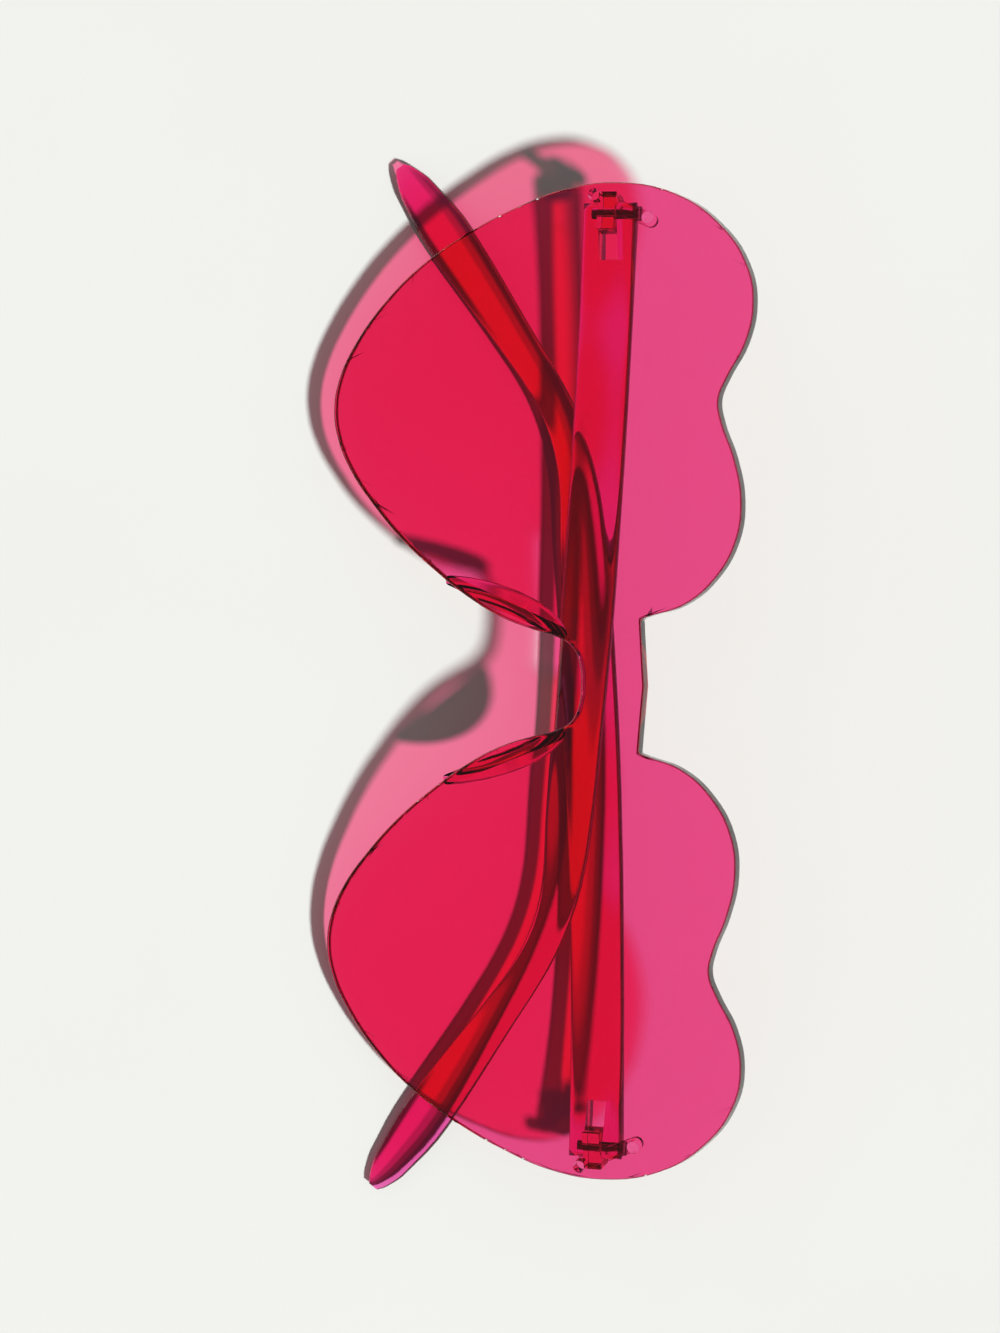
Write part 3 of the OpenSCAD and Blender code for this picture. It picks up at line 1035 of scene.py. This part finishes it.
def absorption(finish, dye, depth_share):
    """Volume Absorption with the depth's share of the dye over the front's thickness."""
    per_metre = [-math.log(c) * depth_share / FRONT_T for c in dye]
    density = DENSITY_ROOM * max(per_metre)
    colour = [1 - p / density for p in per_metre] + [1]
    return finish.node("ShaderNodeVolumeAbsorption", {}, {"Color": colour, "Density": density})


print("one layer of the front lets through:", FRONT_DYE)

# %% [markdown]
# ## Clear pink plastic: its shadow
#
# Light from a lamp can't find its way through a refracting surface in a
# reasonable time, and the shadow would come out black. Caustics would mend
# that, but they are slow and noisy. Instead, rays on their way to a lamp pass
# straight through a Transparent shader. In the photograph the shadow is pink
# with dark bands, because rounded edges bend the light away. So the way is
# darker where the surface is seen edge on and where the edge attribute says
# so, but only at walls that face away from the lamp. There a ray from the
# table enters the plastic, and Backfacing is 0. Where it leaves, Backfacing
# is 1, and the wall stays clear or, on the temples, half as dark.

# %% The way to a lamp
TO_LAMP = (1.0, 0.73, 0.79, 1)
TEMPLE_TO_LAMP = (1.0, 0.45, 0.64, 1)
DARK_TO_LAMP = (0.15, 0.05, 0.07, 1)
EDGE_SHADE = 2.2
GRAZING = 6.0


def way_to_lamp(finish, edge, lamp_pass, shade, near_wall):
    """Straight through, darker by shade all over and by the edge at the far walls."""
    facing = finish.node("ShaderNodeLayerWeight", {}, {"Blend": 0.5}, output="Facing")
    leaving = finish.node("ShaderNodeNewGeometry", output="Backfacing")
    wall = edge * (1 - leaving * (1 - near_wall)) * EDGE_SHADE
    clear = finish.node("ShaderNodeBsdfTransparent", {}, {"Color": lamp_pass})
    dark = finish.node("ShaderNodeBsdfTransparent", {}, {"Color": DARK_TO_LAMP})
    return finish.mixed_surface((facing**GRAZING + wall + shade).clamped(), clear, dark)


print("dark bands let through:", DARK_TO_LAMP[:3])

# %% [markdown]
# ## Clear pink plastic: all of it
#
# The surface is polished, with slow ripples from the mould and specks too
# fine to see one by one. Both are a bump: geometry that fine would be
# millions of faces. The blocks have nearly clear skin, so the pegs and the
# plate show only as outlines, as they do in the photograph. The pads and the
# blocks throw a dark shadow all over, as they are small and round.

# %% The four plastics
PLASTIC_IOR = 1.5
POLISH = 0.02
RIPPLE_DEPTH = 0.03 * MM
SPECKS = 9000.0
SPECK_SHARE = 0.004


def pink_plastic(
    name,
    dye,
    wave=160.0,
    skin_share=0.65,
    depth_share=0.35,
    lamp_pass=TO_LAMP,
    shade=0.0,
    near_wall=0.0,
):
    finish = Finish(name)
    edge = finish.node("ShaderNodeAttribute", {"attribute_name": "edge"}, output="Fac")
    height = finish.noise(wave, 1.0) + finish.noise(SPECKS, 2.0) * SPECK_SHARE
    bump_values = {"Strength": 1.0, "Distance": RIPPLE_DEPTH, "Height": height}
    body = finish.node(
        "ShaderNodeBsdfPrincipled",
        {},
        {
            "Base Color": skin_colour_and_rim_shade(finish, dye, skin_share, edge),
            "Roughness": POLISH,
            "IOR": PLASTIC_IOR,
            "Transmission Weight": 1.0,
            "Normal": finish.node("ShaderNodeBump", {}, bump_values),
        },
    )
    to_lamp = way_to_lamp(finish, edge, lamp_pass, shade, near_wall)
    shadow_ray = finish.node("ShaderNodeLightPath", output="Is Shadow Ray")
    diffuse_ray = finish.node("ShaderNodeLightPath", output="Is Diffuse Ray")
    surface = finish.mixed_surface(shadow_ray.or_more(diffuse_ray), body, to_lamp)
    return finish.show(surface, absorption(finish, dye, depth_share))


sheet_plastic = pink_plastic("sheet_plastic", FRONT_DYE, wave=90.0)
temple_plastic = pink_plastic(
    "temple_plastic", TEMPLE_DYE, skin_share=0.5, lamp_pass=TEMPLE_TO_LAMP, near_wall=0.5
)
pad_plastic = pink_plastic("pad_plastic", TEMPLE_DYE, skin_share=0.4, depth_share=0.25, shade=0.95)
block_plastic = pink_plastic(
    "block_plastic", FRONT_DYE, skin_share=0.06, depth_share=0.6, shade=0.9
)
print("plastics:", sheet_plastic.name, temple_plastic.name, pad_plastic.name, block_plastic.name)

# %% [markdown]
# ## Dark turned steel
#
# The screws are tiny and dark, with a little brown in the recesses. One flat
# grey would look like paint, so a stain moves the colour along a ramp and the
# roughness with it, and fine marks from the lathe are a bump.

# %% The steel
STAIN = 2600.0
BROWN_STEEL = (0.16, 0.12, 0.10, 1)
GREY_STEEL = (0.40, 0.36, 0.33, 1)
LATHE_MARKS = 14000.0
MARK_DEPTH = 0.01 * MM


def turned_steel():
    finish = Finish("turned_steel")
    stain = finish.noise(STAIN, 4.0)
    colour = finish.node(
        "ShaderNodeValToRGB", {"stops": [(0.3, BROWN_STEEL), (0.7, GREY_STEEL)]}, [stain]
    )
    marks = finish.noise(LATHE_MARKS, 1.0)
    bump = finish.node("ShaderNodeBump", {}, {"Distance": MARK_DEPTH, "Height": marks})
    body = finish.node(
        "ShaderNodeBsdfPrincipled",
        {},
        {
            "Base Color": colour,
            "Metallic": 1.0,
            "Roughness": stain * 0.25 + 0.25,
            "Normal": bump,
        },
    )
    return finish.show(body)


steel = turned_steel()
print("steel ready")

# %% [markdown]
# ## Each piece gets its finish
#
# Each piece is one material all over, and pieces of a kind share theirs, as
# they are moulded from the same stuff. A finish could be given as each piece
# is made, but one list shows all of them at a glance. The slots are cleared
# first, so that nothing stays of a tool that a Boolean used.

# %% Give each piece its finish
FINISHES = {
    shield: sheet_plastic,
    left_pad: pad_plastic,
    right_pad: pad_plastic,
    left_block: block_plastic,
    right_block: block_plastic,
    left_temple: temple_plastic,
    right_temple: temple_plastic,
    left_screw: steel,
    right_screw: steel,
}
for piece, material in FINISHES.items():
    piece.data.materials.clear()
    piece.data.materials.append(material)
print("pieces with a finish:", len(FINISHES))

# %% [markdown]
# ## The table
#
# A plain white table, a little uneven in tone. Its underside is clear, so
# that the glasses can be looked at from below. It could be left at height 0,
# but when the temples open they swing down through that. So the table follows
# the lowest of a few marks on them: each mark rides on a temple, and a Floor
# constraint keeps the table under it.

# %% Lay the table
TABLE_SIZE = 24
TABLE_WHITE = (0.865, 0.865, 0.83, 1)
TABLE_PALER = (0.90, 0.91, 0.87, 1)


def table_finish():
    finish = Finish("table_white")
    colour = finish.mixed_colour(finish.noise(14.0, 3.0), TABLE_WHITE, TABLE_PALER)
    top = finish.node(
        "ShaderNodeBsdfPrincipled",
        {},
        {"Base Color": colour, "Roughness": 0.75, "Specular IOR Level": 0.1},
    )
    clear = finish.node("ShaderNodeBsdfTransparent")
    back = finish.node("ShaderNodeNewGeometry", output="Backfacing")
    return finish.show(finish.mixed_surface(back, top, clear))


start()
bpy.ops.mesh.primitive_plane_add(size=TABLE_SIZE)
table = made("table")
table.data.materials.append(table_finish())


def mark_on(body, piece):
    """Marks a temple's two ends, its lowest place and the one nearest the points."""
    spots = [v.co for v in piece.data.vertices]
    places = [
        max(spots, key=lambda p: p.x),
        min(spots, key=lambda p: p.x),
        min(spots, key=lambda p: p.z),
        min(spots, key=lambda p: p.y),
    ]
    for number, spot in enumerate(places):
        mark = bpy.data.objects.new(f"{body}_mark_{number}", None)
        bpy.context.scene.collection.objects.link(mark)
        mark.location = (spot.x, spot.y, max(spot.z, 0))
        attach(mark, body)
        under = table.constraints.new("FLOOR")
        under.target, under.floor_location = mark, "FLOOR_NEGATIVE_Z"


mark_on("left_arm", left_temple)
mark_on("right_arm", right_temple)
print("table laid")

# %% [markdown]
# ## Light
#
# The shadows fall up and to the left in the picture, with a soft edge a few
# pixels wide. A small area lamp would throw them too, but its light fades
# across the table. A sun lamp with a spread of 5 degrees lights it evenly,
# and a dim even world fills the shadows. The white table under both comes out
# a little below white. The lamp's mirror image in the curved sheet would be a
# white stripe in low views, so nearly all of the light comes from a lamp that
# clear surfaces don't show, and a small share from a twin that they do.

# %% Set up the lamps and the world
LAMP_WAY = Vector((0.47, 0.60, 1.0)).normalized()
LAMP_SPREAD = math.radians(5)
KEY = 0.87
GLINT_SHARE = 0.005
FILL = 0.14
for name, share, shines in (("key", 1 - GLINT_SHARE, False), ("glint", GLINT_SHARE, True)):
    lamp_data = bpy.data.lights.new(name, "SUN")
    lamp_data.angle = LAMP_SPREAD
    lamp_data.energy = share * KEY * math.pi / LAMP_WAY.z
    lamp = bpy.data.objects.new(name, lamp_data)
    bpy.context.scene.collection.objects.link(lamp)
    lamp.rotation_euler = LAMP_WAY.to_track_quat("Z", "Y").to_euler()
    lamp.visible_glossy = lamp.visible_transmission = shines

world = bpy.data.worlds.new("world")
bpy.context.scene.world = world
world.use_nodes = True
fill = world.node_tree.nodes["Background"]
fill.inputs["Color"].default_value = (1, 1, 1, 1)
fill.inputs["Strength"].default_value = FILL
bpy.context.scene.view_settings.view_transform = "Standard"
print("lamp strength:", round(KEY * math.pi / LAMP_WAY.z, 2))

# %% [markdown]
# ## The backdrop
#
# From low down the camera sees past the table into the dim world, which
# would be grey. A brighter world would mend that and wash out the shadows. So
# a pale ring stands round the table, which only the camera, mirror images and
# clear pieces see: to all other rays it is transparent, and it adds no light.

# %% Stand a pale backdrop round the table
BACKDROP_R = 3.5
BACKDROP_H = 1.6
BACKDROP_MIDDLE = 0.2
BACKDROP_WHITE = (0.87, 0.88, 0.85, 1)


def backdrop_finish():
    finish = Finish("backdrop_white")
    glow = finish.node("ShaderNodeEmission", {}, {"Color": BACKDROP_WHITE})
    clear = finish.node("ShaderNodeBsdfTransparent")
    camera_ray = finish.node("ShaderNodeLightPath", output="Is Camera Ray")
    glossy_ray = finish.node("ShaderNodeLightPath", output="Is Glossy Ray")
    through_ray = finish.node("ShaderNodeLightPath", output="Is Transmission Ray")
    seen = camera_ray.or_more(glossy_ray).or_more(through_ray)
    return finish.show(finish.mixed_surface(seen, clear, glow))


start()
bpy.ops.mesh.primitive_cylinder_add(
    vertices=96,
    radius=BACKDROP_R,
    depth=BACKDROP_H,
    end_fill_type="NOTHING",
    location=(0, 0, BACKDROP_MIDDLE),
)
backdrop = made("backdrop")
backdrop.data.materials.append(backdrop_finish())
print("backdrop up")

# %% [markdown]
# ## Hand the pieces over
#
# Every piece rides on the body it belongs to and stands for its solid. The
# list also gives the slot of its material, which is not used here. The screws
# ride on the temples, as they turn with them.

# %% Ride and replace
HAND_OVER = [
    (shield, "front", "front_shield", "tinted_lens"),
    (left_pad, "front", "left_nose_pad", "tinted_pad"),
    (right_pad, "front", "right_nose_pad", "tinted_pad"),
    (left_block, "front", "left_hinge_block", "tinted_block"),
    (right_block, "front", "right_hinge_block", "tinted_block"),
    (left_temple, "left_arm", "left_temple", "tinted_temple"),
    (right_temple, "right_arm", "right_temple", "tinted_temple"),
    (left_screw, "left_arm", "left_hinge_screw", "screw_steel"),
    (right_screw, "right_arm", "right_hinge_screw", "screw_steel"),
]
for piece, body, node, slot in HAND_OVER:
    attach(piece, body)
    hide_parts(node)
    triangles = sum(len(p.vertices) - 2 for p in piece.data.polygons)
    print(piece.name, "triangles:", triangles)
